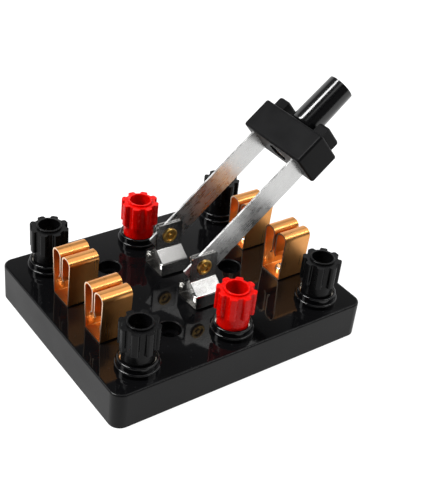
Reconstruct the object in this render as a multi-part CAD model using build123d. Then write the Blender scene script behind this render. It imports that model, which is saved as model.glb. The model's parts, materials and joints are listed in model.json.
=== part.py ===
from build123d import *
import math
import os

# Double-pole, double-throw knife switch for the bench.
# Row frame: the origin is the centre of the base's underside. +X is the throw direction, towards
# the contacts that the blades lean over at rest. +Y runs across the two poles, and +Z is up.
# Millimetres and degrees.

# ---- base moulding ----
base_length = 100.0
base_width = 80.0
base_height = 13.5
base_corner_r = 4.0
base_edge_r = 0.7
base_wall = 2.4
base_plate = 3.0
rib_width = 2.0
foot_d = 8.0
rib_x_left = -18.0
rib_x_right = 20.5

# ---- screw holes of the base ----
screw_hole_d = 4.5
screw_recess_d = 8.2
screw_recess_depth = 3.5
screw_boss_d = 12.0
screw_hole_y = 19.6
screw_recess_edge = 0.35

# ---- layout of the contacts ----
contact_end_margin = 13.6
post_side_margin = 10.3
pole_offset = 10.7

# ---- switch blades and their swing ----
blade_thickness = 0.7
blade_width = 9.6
blade_tail = 6.2
blade_corner_r = 0.6
rest_angle = 39.3
pivot_height = 13.8
bar_gap = 4.5

# ---- spring jaws, bent from bronze strip ----
jaw_strip = 0.5
jaw_length = 10.8
jaw_height = 18.8
jaw_foot_width = 10.0
jaw_top_width = 11.9
jaw_slope = 4.0
jaw_shoulder_r = 2.1
jaw_throat_r = 2.0
jaw_foot_r = 0.5
jaw_lip_r = 0.6
jaw_lip_out = 0.9
jaw_lip_drop = 0.9
jaw_leaf_below_blade = 0.4
jaw_clearance = 0.1

# ---- hinge brackets, bent from steel strip ----
bracket_strip = 0.5
bracket_length = 10.2
bracket_foot_width = 11.2
bracket_wall_height = 5.4
bracket_neck_height = 8.8
bracket_height = 18.7
bracket_bend_r = 0.6
bracket_corner_r = 0.8
ear_clearance = 0.12

# ---- rivets ----
foot_rivet_d = 3.0
foot_rivet_head_d = 5.0
foot_rivet_head = 1.2
foot_rivet_slot = 0.9
foot_rivet_tail_d = 4.6
foot_rivet_tail = 0.7
pivot_rivet_d = 3.4
pivot_rivet_flange_d = 5.6
pivot_rivet_flange = 0.65
pivot_rivet_well_d = 3.6
pivot_rivet_well = 0.55
pivot_rivet_core_d = 1.8
pivot_rivet_roll = 0.3
pivot_clearance = 0.05

# ---- crossbar and handle ----
bar_end = 4.5
bar_depth = 12.0
bar_thickness = 13.4
bar_edge_r = 0.9
bar_skin = 1.5
lug_length = 4.2
lug_width = 4.8
lug_height = 8.5
lug_edge_r = 1.1
tongue_width = 5.0
handle_root_d = 10.8
handle_tip_d = 10.0
handle_length = 20.4
handle_tip_r = 1.4
handle_dome = 0.5
handle_screw_d = 4.0
handle_screw_head_d = 7.0
handle_screw_head = 2.4
handle_screw_recess = 3.0
handle_screw_grip = 11.0
screw_slot_width = 1.0
screw_slot_depth = 1.1
screw_clearance = 0.15

# ---- binding posts ----
stud_d = 6.0
stud_height = 9.8
stud_protrusion = 1.0
stud_chamfer = 0.4
socket_d = 4.0
socket_depth = 9.4
socket_lead = 0.3
stud_flange_d = 11.6
stud_flange = 1.5
stud_flange_sink = 0.9
stud_hole_clearance = 0.1
collar_height = 3.9
collar_step = 1.8
collar_low_d = 14.8
collar_high_d = 13.4
collar_edge_r = 0.5
collar_seat_clearance = 0.1
clamp_d = 9.0
clamp_thickness = 0.8
clamp_bore_clearance = 0.2
clamp_side_clearance = 0.2
seat_gap = 0.1
cap_skirt_gap = 0.2
thread_clearance = 0.06
insert_d = 8.4
insert_length = 5.0
insert_groove = 0.4
insert_groove_length = 1.0
cap_body_d = 10.9
cap_mouth_d = 7.4
cap_height = 14.2
cap_lip_d = 8.6
cap_lip_height = 0.7
cap_rib_count = 8
cap_rib_d = 13.4
cap_rib_width = 2.6
cap_rib_length = 8.4
cap_rib_r = 0.8
cap_flute_r = 0.5
cap_lip_r = 0.25

# ---- parts under the base ----
link_thickness = 0.8
link_width = 7.0
link_eye_d = 11.0
lock_washer_d = 9.8
lock_washer_thickness = 1.0
lock_washer_gap = 0.8
nut_flats = 10.0
nut_thickness = 3.2

# ---- places that follow from the sizes above ----
contact_x = base_length / 2 - contact_end_margin
post_y = base_width / 2 - post_side_margin
deck = base_height
roof = base_height - base_plate
pivot_z = deck + pivot_height
bar_near = contact_x + jaw_length / 2 + bar_gap
bar_far = bar_near + bar_depth
bar_length = 2 * (pole_offset + bar_end)
jaw_gap = blade_thickness + 2 * jaw_clearance
ear_gap = blade_thickness + 2 * ear_clearance
flange_top = deck + collar_height - stud_flange_sink
clamp_bottom = flange_top + seat_gap
clamp_top = clamp_bottom + clamp_thickness
insert_bottom = clamp_top + seat_gap
cap_bottom = flange_top + cap_skirt_gap
link_bottom = roof - link_thickness
nut_top = link_bottom - lock_washer_thickness
stud_end = nut_top - nut_thickness - stud_protrusion

sides = {"front": -1, "back": 1}
rows = {"left": -contact_x, "middle": 0.0, "right": contact_x}
throws = {"left": -contact_x, "right": contact_x}
screw_holes = [(rib_x_left, -screw_hole_y), (rib_x_left, screw_hole_y), (rib_x_right, 0.0)]
swing = Pos(0, 0, pivot_z) * Rot(0, -rest_angle, 0)


def rod(x, y, low, high, diameter):
    """An upright cylinder between two heights."""
    return Pos(x, y, (low + high) / 2) * Cylinder(diameter / 2, high - low)


def ring(x, y, low, high, outer, inner):
    """An upright ring between two heights."""
    return rod(x, y, low, high, outer) - rod(x, y, low - 1, high + 1, inner)


def bent_strip(points, radii, thickness, width):
    """A strip that follows (y, z) points and bends at each inner one, centred on x = 0."""
    path = FilletPolyline(*[(0, y, z) for y, z in points], radius=radii)
    start = Plane(origin=path @ 0, x_dir=(1, 0, 0), z_dir=path % 0)
    return sweep(start * Rectangle(width, thickness), path=path)


def mirrored(half):
    """The (y, z) points of a symmetric strip, from those of its +Y half."""
    return [(-y, z) for y, z in reversed(half)] + half


# ---------------------------------------------------------------- base
def base():
    """Moulded shell, open below, with ribs, screw bosses and a flat foot at its centre."""
    shell = extrude(RectangleRounded(base_length, base_width, base_corner_r), base_height)
    shell = fillet(shell.faces().sort_by(Axis.Z)[-1].edges(), base_edge_r)
    inner_length = base_length - 2 * base_wall
    inner_width = base_width - 2 * base_wall
    cavity = extrude(RectangleRounded(inner_length, inner_width, base_corner_r - base_wall), roof)
    cavity -= Pos(0, 0, roof / 2) * Box(base_length, rib_width, roof)
    for x in (rib_x_left, rib_x_right):
        cavity -= Pos(x, 0, roof / 2) * Box(rib_width, base_width, roof)
    for x, y in screw_holes:
        cavity -= rod(x, y, 0, roof, screw_boss_d)
    cavity -= rod(0, 0, 0, roof, foot_d)
    body = shell - cavity
    for x, y in screw_holes:
        body -= rod(x, y, -1, deck + 1, screw_hole_d)
        body -= rod(x, y, deck - screw_recess_depth, deck + 1, screw_recess_d)
        rim = Pos(x, y, deck - screw_recess_edge / 2)
        body -= rim * Cone(screw_recess_d / 2, screw_recess_d / 2 + screw_recess_edge, screw_recess_edge)
    for y in (-post_y, post_y):
        for x in rows.values():
            body -= rod(x, y, 0, deck + 1, stud_d + 2 * stud_hole_clearance)
    for y in (-pole_offset, pole_offset):
        for x in rows.values():
            body -= rod(x, y, 0, deck + 1, foot_rivet_d)
    return body


# ---------------------------------------------------------------- contacts
def jaw(x, y):
    """Spring clip: a flat foot, two walls, two lobes, and two leaves that end in turned-out lips."""
    half_strip = jaw_strip / 2
    foot_z = deck + half_strip
    shoulder_y = jaw_top_width / 2 - half_strip
    leaf_y = jaw_gap / 2 + half_strip
    arc_drop = jaw_shoulder_r * (1 / math.tan(math.radians(45 - jaw_slope / 2)) - 1)
    shoulder_z = deck + jaw_height - half_strip + arc_drop
    throat_z = shoulder_z - (shoulder_y - leaf_y) * math.tan(math.radians(jaw_slope))
    leaf_end_z = pivot_z - blade_width / 2 - jaw_leaf_below_blade + jaw_lip_drop
    half = [
        (jaw_foot_width / 2 - half_strip, foot_z),
        (shoulder_y, shoulder_z),
        (leaf_y, throat_z),
        (leaf_y, leaf_end_z),
        (leaf_y + jaw_lip_out, leaf_end_z - jaw_lip_drop),
    ]
    bends = [jaw_foot_r, jaw_shoulder_r, jaw_throat_r, jaw_lip_r]
    clip = bent_strip(mirrored(half), bends[::-1] + bends, jaw_strip, jaw_length)
    return Pos(x, y, 0) * (clip - rod(0, 0, deck - 1, foot_z + 1, foot_rivet_d))


def bracket(y):
    """Hinge clip of omega section: foot, low walls, sloping shoulders and two upright ears."""
    half_strip = bracket_strip / 2
    foot_z = deck + half_strip
    wall_y = bracket_foot_width / 2 - half_strip
    ear_y = ear_gap / 2 + half_strip
    half = [
        (wall_y, foot_z),
        (wall_y, deck + bracket_wall_height),
        (ear_y, deck + bracket_neck_height),
        (ear_y, deck + bracket_height),
    ]
    bends = [bracket_bend_r] * 3
    clip = bent_strip(mirrored(half), bends + bends, bracket_strip, bracket_length)
    ear_edges = clip.edges().filter_by(Axis.Y).group_by(Axis.Z)[-1]
    clip = fillet(ear_edges, bracket_corner_r)
    clip -= rod(0, 0, deck - 1, foot_z + 1, foot_rivet_d)
    clip -= Pos(0, 0, pivot_z) * Rot(90, 0, 0) * Cylinder(pivot_rivet_d / 2, bracket_foot_width)
    return Pos(0, y, 0) * clip


def foot_rivet(x, y, strip):
    """Rivet through a clip's foot, the deck and the link below, with a slotted head."""
    seat = deck + strip
    rivet = rod(x, y, link_bottom - foot_rivet_tail, seat + foot_rivet_head, foot_rivet_d)
    head = rod(x, y, seat, seat + foot_rivet_head, foot_rivet_head_d)
    rivet += fillet(head.edges().sort_by(Axis.Z)[-1], foot_rivet_head / 2)
    rivet += rod(x, y, link_bottom - foot_rivet_tail, link_bottom, foot_rivet_tail_d)
    slot = Pos(x, y, seat + foot_rivet_head) * Box(foot_rivet_slot, foot_rivet_head_d, foot_rivet_slot)
    return rivet - slot


def pivot_rivet(y):
    """Rivet across the bracket's ears: a rolled rim and a round-ended core on both outer faces."""
    ear_face = ear_gap / 2 + bracket_strip
    end = ear_face + pivot_rivet_flange
    rivet = Cylinder(pivot_rivet_d / 2, 2 * ear_face)
    for side in (-1, 1):
        flange = Cylinder(pivot_rivet_flange_d / 2, pivot_rivet_flange)
        rivet += Pos(0, 0, side * (ear_face + pivot_rivet_flange / 2)) * flange
        well = Cylinder(pivot_rivet_well_d / 2, pivot_rivet_well)
        well -= Cylinder(pivot_rivet_core_d / 2, pivot_rivet_well)
        rivet -= Pos(0, 0, side * (end - pivot_rivet_well / 2)) * well
    rivet = fillet([edge for edge in rivet.edges() if abs(edge.center().Z) > end - 0.01], pivot_rivet_roll)
    return Pos(0, y, pivot_z) * Rot(90, 0, 0) * rivet


# ---------------------------------------------------------------- moving frame, modelled level and then swung
def blade_shape(y):
    """One blade with a narrow tongue at its bar end, level, with its pivot on the Y axis."""
    full_end = bar_far - bar_skin
    tongue_end = bar_far + lug_length - bar_skin
    plate = Pos((full_end - blade_tail) / 2, 0, 0) * Box(full_end + blade_tail, blade_thickness, blade_width)
    tail_edges = plate.edges().filter_by(Axis.Y).group_by(Axis.X)[0]
    plate = fillet(tail_edges, blade_corner_r)
    tongue_length = tongue_end - full_end
    plate += Pos(full_end + tongue_length / 2, 0, 0) * Box(tongue_length, blade_thickness, tongue_width)
    return Pos(0, y, 0) * plate


def blade(y):
    """Switch blade with a running hole for the pivot rivet."""
    hole = Rot(90, 0, 0) * Cylinder(pivot_rivet_d / 2 + pivot_clearance, blade_width)
    return swing * (blade_shape(y) - Pos(0, y, 0) * hole)


def crossbar():
    """Insulating bar moulded round both blades' ends, with a lug behind each blade."""
    bar = Pos(bar_near + bar_depth / 2, 0, 0) * Box(bar_depth, bar_length, bar_thickness)
    bar = fillet(bar.edges(), bar_edge_r)
    for side in sides.values():
        lug = Box(lug_length + bar_edge_r, lug_width, lug_height)
        lug = Pos(bar_far - bar_edge_r + (lug_length + bar_edge_r) / 2, side * pole_offset, 0) * lug
        bar += fillet(lug.faces().sort_by(Axis.X)[-1].edges(), lug_edge_r)
        bar -= blade_shape(side * pole_offset)
    clearance_d = handle_screw_d + 2 * screw_clearance
    bar -= Pos(bar_near + bar_depth / 2, 0, 0) * Rot(0, 90, 0) * Cylinder(clearance_d / 2, bar_depth + 2)
    recess = Cylinder(handle_screw_head_d / 2 + screw_clearance, handle_screw_recess)
    bar -= Pos(bar_near + handle_screw_recess / 2, 0, 0) * Rot(0, 90, 0) * recess
    return swing * bar


def handle():
    """Turned grip with a slight taper and a domed end, tapped for its screw."""
    tip_r = handle_tip_d / 2
    dome_r = (tip_r ** 2 + handle_dome ** 2) / (2 * handle_dome)
    grip = Pos(bar_far + handle_length / 2, 0, 0) * Rot(0, 90, 0)
    grip *= Cone(handle_root_d / 2, tip_r, handle_length)
    grip &= Pos(bar_far + handle_length - dome_r, 0, 0) * Sphere(dome_r)
    tip_edge = grip.edges().filter_by(GeomType.CIRCLE).sort_by(Axis.X)[-1]
    grip = fillet(tip_edge, handle_tip_r)
    depth = handle_screw_grip + 1
    grip -= Pos(bar_far + depth / 2, 0, 0) * Rot(0, 90, 0) * Cylinder(handle_screw_d / 2, depth)
    return swing * grip


def handle_screw():
    """Slotted pan-head screw that holds the grip through the crossbar."""
    seat = bar_near + handle_screw_recess
    length = bar_far + handle_screw_grip - seat
    screw = Pos(seat + length / 2, 0, 0) * Rot(0, 90, 0) * Cylinder(handle_screw_d / 2, length)
    head = Pos(seat - handle_screw_head / 2, 0, 0) * Rot(0, 90, 0)
    head *= Cylinder(handle_screw_head_d / 2, handle_screw_head)
    screw += fillet(head.edges().sort_by(Axis.X)[0], handle_screw_head / 3)
    slot = Box(2 * screw_slot_depth, handle_screw_head_d + 1, screw_slot_width)
    return swing * (screw - Pos(seat - handle_screw_head, 0, 0) * slot)


# ---------------------------------------------------------------- binding posts
def stud(x, y):
    """Threaded stud with a plug socket in its top and a flange that the wire is clamped on."""
    top = deck + stud_height
    body = chamfer(rod(x, y, stud_end, top, stud_d).edges(), stud_chamfer)
    body += rod(x, y, flange_top - stud_flange, flange_top, stud_flange_d)
    body -= rod(x, y, top - socket_depth, top + 1, socket_d)
    lead = Cone(socket_d / 2, socket_d / 2 + socket_lead, socket_lead)
    return body - Pos(x, y, top - socket_lead / 2) * lead


def collar(x, y):
    """Insulating collar in two tiers, dished for the stud's flange and the end of the cap's skirt."""
    top = deck + collar_height
    low = rod(x, y, deck, deck + collar_step, collar_low_d)
    high = rod(x, y, deck, top, collar_high_d)
    body = fillet(low.edges().sort_by(Axis.Z)[-1], collar_edge_r)
    body += fillet(high.edges().sort_by(Axis.Z)[-1], collar_edge_r)
    body -= rod(x, y, deck - 1, top + 1, stud_d + 2 * stud_hole_clearance)
    seat = flange_top - stud_flange
    return body - rod(x, y, seat, top + 1, stud_flange_d + 2 * collar_seat_clearance)


def clamp_washer(x, y):
    """Plain washer carried under the cap, which presses the wire on the stud's flange."""
    return ring(x, y, clamp_bottom, clamp_top, clamp_d, stud_d + 2 * clamp_bore_clearance)


def insert(x, y):
    """Brass thread insert of the cap, with a groove that locks it in the moulding."""
    body = ring(x, y, insert_bottom, insert_bottom + insert_length, insert_d, stud_d + 2 * thread_clearance)
    middle = insert_bottom + insert_length / 2
    low = middle - insert_groove_length / 2
    high = middle + insert_groove_length / 2
    return body - ring(x, y, low, high, insert_d + 1, insert_d - 2 * insert_groove)


def cap(x, y):
    """Moulded cap: plain skirt, ribbed grip, raised lip, and a mouth down to the stud's socket."""
    top = cap_bottom + cap_height
    shoulder = top - cap_lip_height
    rib = RectangleRounded(cap_rib_d / 2, cap_rib_width, cap_rib_r)
    section = Circle(cap_body_d / 2)
    for step in range(cap_rib_count):
        section += Rot(0, 0, step * 360 / cap_rib_count) * Pos(cap_rib_d / 4, 0, 0) * rib
    grip = extrude(section, cap_rib_length)
    upright = grip.edges().filter_by(Axis.Z)
    roots = [edge for edge in upright if math.hypot(edge.center().X, edge.center().Y) < cap_body_d / 2 + 0.01]
    grip = fillet(roots, cap_flute_r)
    body = rod(0, 0, cap_bottom, shoulder, cap_body_d)
    body += Pos(0, 0, shoulder - cap_rib_length) * grip
    lip = rod(0, 0, shoulder, top, cap_lip_d)
    body += fillet(lip.edges().sort_by(Axis.Z)[-1], cap_lip_r)
    body -= rod(0, 0, insert_bottom, top + 1, cap_mouth_d)
    body -= rod(0, 0, insert_bottom, insert_bottom + insert_length, insert_d)
    body -= rod(0, 0, cap_bottom - 1, insert_bottom, clamp_d + 2 * clamp_side_clearance)
    return Pos(x, y, 0) * body


# ---------------------------------------------------------------- parts under the base
def link(x, side):
    """Brass strip under the deck from a post's stud to its clip's rivet."""
    span = post_y - pole_offset
    strip = Pos(x, side * (pole_offset + span / 2), (link_bottom + roof) / 2)
    body = strip * Box(link_width, span, link_thickness)
    body += rod(x, side * post_y, link_bottom, roof, link_eye_d)
    body += rod(x, side * pole_offset, link_bottom, roof, link_width)
    body -= rod(x, side * post_y, link_bottom - 1, roof + 1, stud_d + 2 * stud_hole_clearance)
    return body - rod(x, side * pole_offset, link_bottom - 1, roof + 1, foot_rivet_d)


def lock_washer(x, y):
    """Split washer between a link and its nut."""
    body = ring(x, y, nut_top, link_bottom, lock_washer_d, stud_d + 2 * stud_hole_clearance)
    gap = Box(lock_washer_d, lock_washer_gap, 2 * lock_washer_thickness)
    return body - Pos(x + lock_washer_d / 2, y, (nut_top + link_bottom) / 2) * gap


def nut(x, y):
    """Thin hexagon nut on a stud's lower end."""
    low = nut_top - nut_thickness
    corner_r = nut_flats / math.sqrt(3)
    body = Pos(x, y, low) * extrude(RegularPolygon(corner_r, 6), nut_thickness)
    rounding = chamfer(rod(x, y, low, nut_top, 2 * corner_r).edges(), corner_r - nut_flats / 2)
    return (body & rounding) - rod(x, y, low - 1, nut_top + 1, stud_d)


# ---------------------------------------------------------------- write one file per node
os.makedirs("parts", exist_ok=True)


def write(name, shape):
    """Write one node, as a single solid or as a group of separate ones."""
    export_step(shape, f"parts/{name}.step")


write("base", base())
for throw, x in throws.items():
    for side, sign in sides.items():
        write(f"{throw}_{side}_jaw", jaw(x, sign * pole_offset))
for side, sign in sides.items():
    write(f"{side}_bracket", bracket(sign * pole_offset))
    write(f"{side}_pivot_rivet", pivot_rivet(sign * pole_offset))
    write(f"{side}_blade", blade(sign * pole_offset))
write("crossbar", crossbar())
write("handle", handle())
write("handle_screw", handle_screw())

posts = [(x, sign * post_y) for x in rows.values() for sign in sides.values()]
poles = [sign * pole_offset for sign in sides.values()]
write("jaw_rivets", Compound([foot_rivet(x, y, jaw_strip) for x in throws.values() for y in poles]))
write("bracket_rivets", Compound([foot_rivet(0, y, bracket_strip) for y in poles]))
write("stud_nuts", Compound([nut(x, y) for x, y in posts]))
write("lock_washers", Compound([lock_washer(x, y) for x, y in posts]))
for row, x in rows.items():
    for side, sign in sides.items():
        y = sign * post_y
        write(f"{row}_{side}_link", link(x, sign))
        write(f"{row}_{side}_collar", collar(x, y))
        write(f"{row}_{side}_stud", stud(x, y))
        write(f"{row}_{side}_clamp_washer", clamp_washer(x, y))
        write(f"{row}_{side}_insert", insert(x, y))
        write(f"{row}_{side}_cap", cap(x, y))
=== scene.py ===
import bpy
import json
import math
from mathutils import Matrix, Vector

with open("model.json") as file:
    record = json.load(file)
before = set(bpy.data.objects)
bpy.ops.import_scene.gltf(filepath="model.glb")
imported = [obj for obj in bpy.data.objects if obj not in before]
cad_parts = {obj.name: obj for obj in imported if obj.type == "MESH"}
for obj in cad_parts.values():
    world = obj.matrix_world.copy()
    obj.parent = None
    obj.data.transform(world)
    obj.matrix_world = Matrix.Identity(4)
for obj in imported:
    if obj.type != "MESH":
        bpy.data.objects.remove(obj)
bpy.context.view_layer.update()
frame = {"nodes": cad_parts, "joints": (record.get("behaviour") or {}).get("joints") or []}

# ---------------------------------------------------------------- base
# One injection-moulded ABS shell: the deck came off a polished tool face and mirrors what stands
# on it, while the sides and the hollow underneath came off a plain one. Everything is fixed to it.
mm = 0.001
smear_width = 22 * mm
speck_spacing = 2.6 * mm
sink_width = 14 * mm
grain_width = 0.35 * mm
relief_depth = 0.05 * mm
# How far up the surface faces where the deck's rounded rim leaves the sides and meets the deck.
rim_starts = 0.80
rim_ends = 0.97
# A Mix node's sockets share their names, so they go by place, and so do a Math node's.
factor, number_a, number_b, colour_a, colour_b = 0, 2, 3, 6, 7
mixed_number, mixed_colour = 0, 2
first, second = 0, 1


def paint(code):
    """A linear colour from an sRGB hex code."""
    parts = [int(code[i:i + 2], 16) / 255 for i in (1, 3, 5)]
    return [p / 12.92 if p <= 0.04045 else ((p + 0.055) / 1.055) ** 2.4 for p in parts] + [1]


def add_node(tree, kind, sockets=None, **settings):
    """Adds one node: settings go on the node itself, and each socket takes a value or a link."""
    added = tree.nodes.new(kind)
    for name, value in settings.items():
        setattr(added, name, value)
    for name, value in (sockets or {}).items():
        if isinstance(value, bpy.types.NodeSocket):
            tree.links.new(value, added.inputs[name])
        else:
            added.inputs[name].default_value = value
    return added


def start_finish(name, sockets):
    """A material with its shader's even values set, its node tree, and where it is on the piece."""
    material = bpy.data.materials.new(name)
    material.use_nodes = True
    tree = material.node_tree
    shader = tree.nodes["Principled BSDF"]
    for socket, value in sockets.items():
        shader.inputs[socket].default_value = value
    place = add_node(tree, "ShaderNodeTexCoord").outputs["Object"]
    return material, tree, shader, place


def put_on(material, *nodes):
    """Gives CAD nodes a finish in place of their plain one."""
    for name in nodes:
        slots = frame["nodes"][name].data.materials
        slots.clear()
        slots.append(material)


# ABS is a clear-reflecting dielectric: the black is deep, and all the eye gets is its reflections.
moulded_abs, tree, shader, place = start_finish(
    "polished_moulded_abs", {"IOR": 1.5, "Specular IOR Level": 0.14}
)
surface = add_node(tree, "ShaderNodeNewGeometry").outputs["Normal"]
facing = add_node(tree, "ShaderNodeSeparateXYZ", {"Vector": surface}).outputs["Z"]
deck = add_node(
    tree, "ShaderNodeMapRange", {"Value": facing, "From Min": rim_starts, "From Max": rim_ends}
).outputs["Result"]
# Handling leaves broad smears on the polished deck.
smears = add_node(
    tree, "ShaderNodeTexNoise", {"Vector": place, "Scale": 1 / smear_width, "Detail": 4.0}
).outputs["Fac"]
deck_gloss = add_node(
    tree, "ShaderNodeMapRange",
    {"Value": smears, "From Min": 0.35, "From Max": 0.75, "To Min": 0.04, "To Max": 0.09},
).outputs["Result"]
side_gloss = add_node(
    tree, "ShaderNodeMapRange",
    {"Value": smears, "From Min": 0.3, "From Max": 0.7, "To Min": 0.34, "To Max": 0.42},
).outputs["Result"]
gloss = add_node(
    tree, "ShaderNodeMix", {factor: deck, number_a: side_gloss, number_b: deck_gloss}, data_type="FLOAT"
).outputs[mixed_number]
tree.links.new(gloss, shader.inputs["Roughness"])
# Dust settles in specks a few tenths of a millimetre across.
dust = add_node(
    tree, "ShaderNodeTexVoronoi", {"Vector": place, "Scale": 1 / speck_spacing}
).outputs["Distance"]
speck = add_node(
    tree, "ShaderNodeMapRange",
    {"Value": dust, "From Min": 0.03, "From Max": 0.07, "To Min": 1.0, "To Max": 0.0},
).outputs["Result"]
black = add_node(
    tree, "ShaderNodeMix",
    {factor: speck, colour_a: paint("#080809"), colour_b: paint("#2b2b2c")}, data_type="RGBA",
).outputs[mixed_colour]
tree.links.new(black, shader.inputs["Base Color"])
# The plain tool face leaves a fine grain, and the polished one only faint sink marks.
grain = add_node(
    tree, "ShaderNodeTexNoise", {"Vector": place, "Scale": 1 / grain_width, "Detail": 3.0}
).outputs["Fac"]
sink = add_node(
    tree, "ShaderNodeTexNoise", {"Vector": place, "Scale": 1 / sink_width, "Detail": 1.0}
).outputs["Fac"]
height = add_node(
    tree, "ShaderNodeMix", {factor: deck, number_a: grain, number_b: sink}, data_type="FLOAT"
).outputs[mixed_number]
bump = add_node(tree, "ShaderNodeBump", {"Height": height, "Strength": 0.25, "Distance": relief_depth})
tree.links.new(bump.outputs["Normal"], shader.inputs["Normal"])
put_on(moulded_abs, "base")

# ---------------------------------------------------------------- collars of the binding posts
# Insulating collars of black thermoset, moulded in two rounded tiers. They're held on the deck by
# the studs' flanges, which sit in their dished tops.
sides = ("front", "back")
posts = [f"{row}_{side}" for row in ("left", "middle", "right") for side in sides]
rub_width = 4 * mm

# Thermoset takes the tool's polish, so its rounded rims carry thin bright lines on deep black.
thermoset, tree, shader, place = start_finish(
    "glossy_thermoset", {"IOR": 1.52, "Specular IOR Level": 0.25, "Base Color": paint("#060607")}
)
rub = add_node(
    tree, "ShaderNodeTexNoise", {"Vector": place, "Scale": 1 / rub_width, "Detail": 5.0}
).outputs["Fac"]
gloss = add_node(
    tree, "ShaderNodeMapRange",
    {"Value": rub, "From Min": 0.35, "From Max": 0.7, "To Min": 0.08, "To Max": 0.17},
).outputs["Result"]
tree.links.new(gloss, shader.inputs["Roughness"])
put_on(thermoset, *[f"{post}_collar" for post in posts])

# ---------------------------------------------------------------- studs and clamp washers
# Studs turned from brass and nickel-plated, each with a 4 mm socket in its top and a flange; a
# plated washer in each cap's skirt presses the wire on the flange.


def clouded_metal(name, cloud_width, detail, tones, gloss_range):
    """A metal whose colour and gloss drift together, as handling and tarnish cloud it."""
    material, tree, shader, place = start_finish(name, {"Metallic": 1.0})
    cloud = add_node(
        tree, "ShaderNodeTexNoise", {"Vector": place, "Scale": 1 / cloud_width, "Detail": detail}
    ).outputs["Fac"]
    dark, light = tones
    tone = add_node(
        tree, "ShaderNodeMix",
        {factor: cloud, colour_a: paint(dark), colour_b: paint(light)}, data_type="RGBA",
    ).outputs[mixed_colour]
    tree.links.new(tone, shader.inputs["Base Color"])
    low, high = gloss_range
    gloss = add_node(
        tree, "ShaderNodeMapRange", {"Value": cloud, "To Min": low, "To Max": high}
    ).outputs["Result"]
    tree.links.new(gloss, shader.inputs["Roughness"])
    return material


# Plating on turned brass is warm and bright, and shows the eye small sharp glints on its edges.
plated_brass = clouded_metal("nickel_plated_brass", 3 * mm, 4.0, ("#b9b3a6", "#d8d2c6"), (0.16, 0.34))
put_on(plated_brass, *[f"{post}_stud" for post in posts], *[f"{post}_clamp_washer" for post in posts])

# ---------------------------------------------------------------- thread inserts
# Free-cutting brass inserts, turned with a groove and moulded into the caps. Their ends show as
# rings deep in the mouths.
# Turned brass is yellow, with a soft sheen that clouds where it has been handled.
turned_brass = clouded_metal("turned_brass", 2 * mm, 4.0, ("#b98f45", "#dcb768"), (0.2, 0.4))
put_on(turned_brass, *[f"{post}_insert" for post in posts])

# ---------------------------------------------------------------- caps
# Ribbed thumb caps of injection-moulded nylon, black at the corners and red at the middle. They
# screw on the studs, and their open mouths lead a plug to its socket.
flow_width = 5 * mm
thumb_wear_width = 1.5 * mm
skin_width = 0.4 * mm
skin_depth = 0.03 * mm
glow_reach = 2 * mm


def moulded_nylon(name, tones, gloss_range, glow):
    """Nylon: a soft, slightly uneven skin, and light that travels a little way into it."""
    material, tree, shader, place = start_finish(
        name,
        {"IOR": 1.46, "Specular IOR Level": 0.14,
         "Subsurface Weight": glow, "Subsurface Scale": glow_reach},
    )
    flow = add_node(
        tree, "ShaderNodeTexNoise", {"Vector": place, "Scale": 1 / flow_width, "Detail": 3.0}
    ).outputs["Fac"]
    dark, light = tones
    tone = add_node(
        tree, "ShaderNodeMix",
        {factor: flow, colour_a: paint(dark), colour_b: paint(light)}, data_type="RGBA",
    ).outputs[mixed_colour]
    tree.links.new(tone, shader.inputs["Base Color"])
    wear = add_node(
        tree, "ShaderNodeTexNoise", {"Vector": place, "Scale": 1 / thumb_wear_width, "Detail": 5.0}
    ).outputs["Fac"]
    low, high = gloss_range
    gloss = add_node(
        tree, "ShaderNodeMapRange",
        {"Value": wear, "From Min": 0.3, "From Max": 0.7, "To Min": low, "To Max": high},
    ).outputs["Result"]
    tree.links.new(gloss, shader.inputs["Roughness"])
    skin = add_node(
        tree, "ShaderNodeTexNoise", {"Vector": place, "Scale": 1 / skin_width, "Detail": 2.0}
    ).outputs["Fac"]
    bump = add_node(tree, "ShaderNodeBump", {"Height": skin, "Strength": 0.15, "Distance": skin_depth})
    tree.links.new(bump.outputs["Normal"], shader.inputs["Normal"])
    return material


# The red is saturated right into the mouth; the black shows only the edges' soft highlights.
black_nylon = moulded_nylon("moulded_black_nylon", ("#070707", "#0c0c0d"), (0.18, 0.30), glow=0.0)
red_nylon = moulded_nylon("moulded_red_nylon", ("#b40401", "#ca0a04"), (0.20, 0.32), glow=0.6)
for post in posts:
    put_on(red_nylon if post.startswith("middle") else black_nylon, f"{post}_cap")

# ---------------------------------------------------------------- spring jaws
# Each is one strip of bright phosphor bronze, rolled, cut and bent over a former, and riveted to
# the deck through its foot. Its two leaves grip the blade.
tint_width = 6 * mm
line_width = 0.8 * mm
line_depth = 0.006 * mm
# The lines are drawn out across the throw, up the walls and over the lobes.
line_stretch = (1.0, 0.06, 0.06)

# Bright-rolled bronze has a satin copper shine: broad reflections, drawn out along the strip.
rolled_bronze, tree, shader, place = start_finish("rolled_phosphor_bronze", {"Metallic": 1.0})
tint = add_node(
    tree, "ShaderNodeTexNoise", {"Vector": place, "Scale": 1 / tint_width, "Detail": 2.0}
).outputs["Fac"]
rolled = add_node(
    tree, "ShaderNodeMix",
    {factor: tint, colour_a: paint("#d48f4c"), colour_b: paint("#e4a462")}, data_type="RGBA",
).outputs[mixed_colour]
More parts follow.
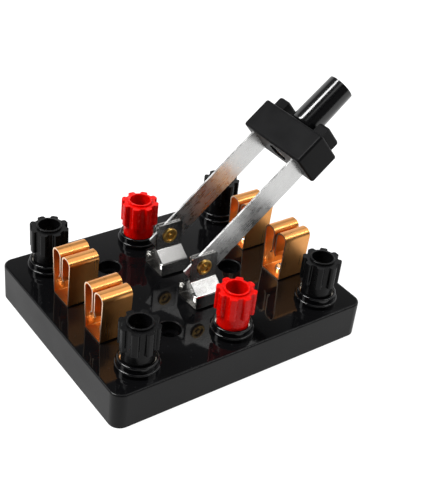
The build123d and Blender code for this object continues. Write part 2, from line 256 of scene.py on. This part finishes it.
# Painted highlight: the faces that point along the throw, the strip's sheared edges, are painted paler
# than its skin, standing in for the bright lines of light that they catch.
surface = add_node(tree, "ShaderNodeNewGeometry").outputs["Normal"]
along = add_node(tree, "ShaderNodeSeparateXYZ", {"Vector": surface}).outputs["X"]
edgewise = add_node(tree, "ShaderNodeMath", {first: along}, operation="ABSOLUTE").outputs["Value"]
painted_edge_highlight = add_node(
    tree, "ShaderNodeMapRange", {"Value": edgewise, "From Min": 0.7, "From Max": 0.95}
).outputs["Result"]
# The pale colour mixed in here is that painted highlight on the sheared edges.
tone = add_node(
    tree, "ShaderNodeMix",
    {factor: painted_edge_highlight, colour_a: rolled, colour_b: paint("#f4d6b8")}, data_type="RGBA",
).outputs[mixed_colour]
tree.links.new(tone, shader.inputs["Base Color"])
stretch = add_node(tree, "ShaderNodeMapping", {"Vector": place, "Scale": line_stretch}).outputs["Vector"]
lines = add_node(
    tree, "ShaderNodeTexNoise", {"Vector": stretch, "Scale": 1 / line_width, "Detail": 2.0}
).outputs["Fac"]
gloss = add_node(
    tree, "ShaderNodeMapRange",
    {"Value": lines, "From Min": 0.3, "From Max": 0.7, "To Min": 0.27, "To Max": 0.33},
).outputs["Result"]
tree.links.new(gloss, shader.inputs["Roughness"])
bump = add_node(tree, "ShaderNodeBump", {"Height": lines, "Strength": 0.05, "Distance": line_depth})
tree.links.new(bump.outputs["Normal"], shader.inputs["Normal"])
put_on(rolled_bronze, *[f"{throw}_{side}_jaw" for throw in ("left", "right") for side in sides])

# ---------------------------------------------------------------- foot rivets
# Bright steel rivets with slotted heads hold the jaws and the brackets to the deck, and their
# tails hold the links below it.
# Headed steel wire is a cool grey with small bright glints round its rim.
rivet_steel = clouded_metal("headed_steel_wire", 1.2 * mm, 4.0, ("#b4b4b2", "#e0e0de"), (0.15, 0.35))
put_on(rivet_steel, "jaw_rivets", "bracket_rivets")

# ---------------------------------------------------------------- hinge brackets
# Omega-shaped clips, stamped and bent from steel strip and nickel-plated; their ears carry the
# blades' pivots.
plating_cloud_width = 3.5 * mm
scratch_width = 0.3 * mm
scratch_depth = 0.01 * mm
scratch_stretch = (0.05, 1.0, 1.0)


def nickel_strip(name, tilt, tones, gloss_range):
    """Nickel on rolled steel: broad clouds in the plating, and fine rubbing along the throw at a tilt."""
    material, tree, shader, place = start_finish(name, {"Metallic": 1.0})
    lengthwise = add_node(
        tree, "ShaderNodeMapping", {"Vector": place, "Rotation": (0, tilt, 0)}
    ).outputs["Vector"]
    cloud = add_node(
        tree, "ShaderNodeTexNoise",
        {"Vector": lengthwise, "Scale": 1 / plating_cloud_width, "Detail": 3.0},
    ).outputs["Fac"]
    dark, light = tones
    tone = add_node(
        tree, "ShaderNodeMix",
        {factor: cloud, colour_a: paint(dark), colour_b: paint(light)}, data_type="RGBA",
    ).outputs[mixed_colour]
    tree.links.new(tone, shader.inputs["Base Color"])
    stretch = add_node(
        tree, "ShaderNodeMapping", {"Vector": lengthwise, "Scale": scratch_stretch}
    ).outputs["Vector"]
    scratch = add_node(
        tree, "ShaderNodeTexNoise",
        {"Vector": stretch, "Scale": 1 / scratch_width, "Detail": 5.0, "Roughness": 0.7},
    ).outputs["Fac"]
    both = add_node(
        tree, "ShaderNodeMath", {first: cloud, second: scratch}, operation="MULTIPLY"
    ).outputs["Value"]
    low, high = gloss_range
    gloss = add_node(
        tree, "ShaderNodeMapRange",
        {"Value": both, "From Min": 0.15, "From Max": 0.36, "To Min": low, "To Max": high},
    ).outputs["Result"]
    tree.links.new(gloss, shader.inputs["Roughness"])
    bump = add_node(
        tree, "ShaderNodeBump", {"Height": scratch, "Strength": 0.05, "Distance": scratch_depth}
    )
    tree.links.new(bump.outputs["Normal"], shader.inputs["Normal"])
    return material


# Bright nickel is nearly a mirror: white where it meets the light, dark where it meets the deck.
bright_nickel = nickel_strip("bright_nickel_strip", 0.0, ("#a8a7a5", "#bebdbb"), (0.16, 0.24))
put_on(bright_nickel, *[f"{side}_bracket" for side in sides])

# ---------------------------------------------------------------- pivot rivets
# Brass rivets, rolled over on the ears' outer faces: the blades turn on them. They share the
# inserts' turned brass.
put_on(turned_brass, *[f"{side}_pivot_rivet" for side in sides])

# ---------------------------------------------------------------- blades
# Flat knives, blanked from steel strip, deburred and nickel-plated. At rest they lean as far above
# the right-hand jaws as their hinge still has to swing.
swing = next(joint for joint in frame["joints"] if joint["name"] == "blade_swing")
rest_angle = math.radians(swing["range_deg"][1])

# Each swing rubs the plating, so its shine is duller than the brackets' and drawn out lengthwise.
rubbed_nickel = nickel_strip("rubbed_nickel_strip", rest_angle, ("#b4b4b3", "#d0d0cf"), (0.24, 0.34))
put_on(rubbed_nickel, *[f"{side}_blade" for side in sides])

# ---------------------------------------------------------------- crossbar
# A solid bar of satin black polypropylene, moulded round the blades' ends.
sheen_width = 6 * mm
blasted_width = 0.35 * mm
blasted_depth = 0.04 * mm

# Its tool was blasted, so the black is greyed by a soft, wide sheen with no sharp reflections.
satin_plastic, tree, shader, place = start_finish(
    "satin_moulded_polypropylene",
    {"IOR": 1.49, "Specular IOR Level": 0.08, "Base Color": paint("#0a0a0b")},
)
sheen = add_node(
    tree, "ShaderNodeTexNoise", {"Vector": place, "Scale": 1 / sheen_width, "Detail": 4.0}
).outputs["Fac"]
gloss = add_node(
    tree, "ShaderNodeMapRange",
    {"Value": sheen, "From Min": 0.3, "From Max": 0.7, "To Min": 0.34, "To Max": 0.46},
).outputs["Result"]
tree.links.new(gloss, shader.inputs["Roughness"])
blasted = add_node(
    tree, "ShaderNodeTexNoise", {"Vector": place, "Scale": 1 / blasted_width, "Detail": 3.0}
).outputs["Fac"]
bump = add_node(tree, "ShaderNodeBump", {"Height": blasted, "Strength": 0.2, "Distance": blasted_depth})
tree.links.new(bump.outputs["Normal"], shader.inputs["Normal"])
put_on(satin_plastic, "crossbar")

# ---------------------------------------------------------------- handle
# A grip turned from black rod, polished, and screwed to the crossbar.
palm_wear_width = 5 * mm

# The polish gives one long bright line down its side, broken up a little by rubbing.
polished_plastic, tree, shader, place = start_finish(
    "polished_turned_plastic", {"IOR": 1.54, "Specular IOR Level": 0.5, "Base Color": paint("#080809")}
)
wear = add_node(
    tree, "ShaderNodeTexNoise", {"Vector": place, "Scale": 1 / palm_wear_width, "Detail": 2.0}
).outputs["Fac"]
gloss = add_node(
    tree, "ShaderNodeMapRange",
    {"Value": wear, "From Min": 0.3, "From Max": 0.7, "To Min": 0.14, "To Max": 0.18},
).outputs["Result"]
tree.links.new(gloss, shader.inputs["Roughness"])
put_on(polished_plastic, "handle")

# ---------------------------------------------------------------- fasteners
# The slotted handle screw, the thin nuts on the studs and their split washers, all of steel.
# Zinc plating is bluish grey and dull, clouded like a thin frost.
zinc = clouded_metal("zinc_plated_steel", 1.8 * mm, 5.0, ("#9ba0a6", "#c3c8cd"), (0.28, 0.45))
put_on(zinc, "handle_screw", "stud_nuts", "lock_washers")

# ---------------------------------------------------------------- links
# Strips stamped from half-hard brass sheet, from each stud to the rivet of its jaw or bracket.
# Sheet brass is darker than turned brass and tarnishes in patches.
sheet_brass = clouded_metal("stamped_sheet_brass", 6 * mm, 6.0, ("#a27a36", "#d0a552"), (0.22, 0.5))
put_on(sheet_brass, *[f"{post}_link" for post in posts])

# ---------------------------------------------------------------- floor
# A sheet of white acrylic lit from below, so that almost no shadow shows on it. The base stands
# on it, at height zero.
half = 3.0
corners = [(-half, -half, 0.0), (half, -half, 0.0), (half, half, 0.0), (-half, half, 0.0)]
sheet = bpy.data.meshes.new("floor")
sheet.from_pydata(corners, [], [(0, 1, 2, 3)])
floor = bpy.data.objects.new("floor", sheet)
bpy.context.scene.collection.objects.link(floor)

# The light comes evenly through the sheet, which leaves it matt and almost pure white.
lit_acrylic = start_finish(
    "lit_white_acrylic",
    {"Base Color": paint("#707070"), "Roughness": 0.9, "Specular IOR Level": 0.0,
     "Emission Color": paint("#ffffff"), "Emission Strength": 0.93},
)[0]
sheet.materials.append(lit_acrylic)

# ---------------------------------------------------------------- lights
# Three soft boxes: a large one overhead, and narrower ones at the front right and the back left
# for bright lines on rounded metal and plastic. All face the point that the camera aims at.
aim = Vector((0.0112, -0.0041, 0.0273))


def softbox(name, direction, distance, width, length, power):
    """A rectangular light that hangs in a direction from the object and faces it."""
    lamp = bpy.data.lights.new(name, "AREA")
    lamp.shape = "RECTANGLE"
    lamp.size = width
    lamp.size_y = length
    lamp.energy = power
    hung = bpy.data.objects.new(name, lamp)
    away = Vector(direction).normalized()
    hung.location = aim + away * distance
    hung.rotation_euler = away.to_track_quat("Z", "Y").to_euler()
    hung.visible_camera = False
    bpy.context.scene.collection.objects.link(hung)


softbox("overhead_softbox", (0.36, -0.14, 0.92), distance=1.1, width=1.7, length=1.5, power=10.0)
softbox("front_right_strip", (0.50, -0.52, 0.69), distance=1.0, width=0.6, length=0.08, power=1.8)
softbox("back_left_strip", (-0.58, 0.29, 0.76), distance=1.1, width=0.26, length=0.8, power=20.0)

# ---------------------------------------------------------------- backdrop
# A pale backdrop stands behind the object, bright low down and dim above. The rest of the room is
# nearly dark, so the near faces stay black.
backdrop_side = (0.6, 0.8, 0.0)
world = bpy.data.worlds.new("studio")
bpy.context.scene.world = world
world.use_nodes = True
tree = world.node_tree
ray = add_node(tree, "ShaderNodeTexCoord").outputs["Generated"]
rise = add_node(tree, "ShaderNodeSeparateXYZ", {"Vector": ray}).outputs["Z"]
backdrop = add_node(
    tree, "ShaderNodeMapRange",
    {"Value": rise, "From Min": 0.48, "From Max": 0.64, "To Min": 1.15, "To Max": 0.14},
    interpolation_type="SMOOTHSTEP",
).outputs["Result"]
behind = add_node(
    tree, "ShaderNodeVectorMath", {first: ray, second: backdrop_side}, operation="DOT_PRODUCT"
).outputs["Value"]
room = add_node(
    tree, "ShaderNodeMapRange",
    {"Value": behind, "From Min": -0.1, "From Max": 0.5, "To Min": 0.06, "To Max": 1.0},
    interpolation_type="SMOOTHSTEP",
).outputs["Result"]
strength = add_node(
    tree, "ShaderNodeMath", {first: backdrop, second: room}, operation="MULTIPLY"
).outputs["Value"]
tree.links.new(strength, tree.nodes["Background"].inputs["Strength"])
tree.nodes["Background"].inputs["Color"].default_value = paint("#ffffff")

# ---------------------------------------------------------------- camera
# It looks down on the deck from the front left corner, rolled a little, with its aim on the
# height of the blades' pivots.
view_azimuth = math.radians(39.08)
view_drop = math.radians(34.05)
view_roll = math.radians(6.7)
view_distance = 0.3367
lens = bpy.data.cameras.new("camera")
lens.lens = 70.85
lens.sensor_width = 36.0
lens.clip_start = 10 * mm
camera = bpy.data.objects.new("camera", lens)
level = Vector((math.sin(view_azimuth), math.cos(view_azimuth), 0.0)) * math.cos(view_drop)
sight = level - Vector((0.0, 0.0, math.sin(view_drop)))
camera.location = aim - sight * view_distance
turn = sight.to_track_quat("-Z", "Y").to_matrix() @ Matrix.Rotation(view_roll, 3, "Z")
camera.rotation_euler = turn.to_euler()
bpy.context.scene.collection.objects.link(camera)
bpy.context.scene.camera = camera
bpy.context.scene.view_settings.view_transform = "Standard"
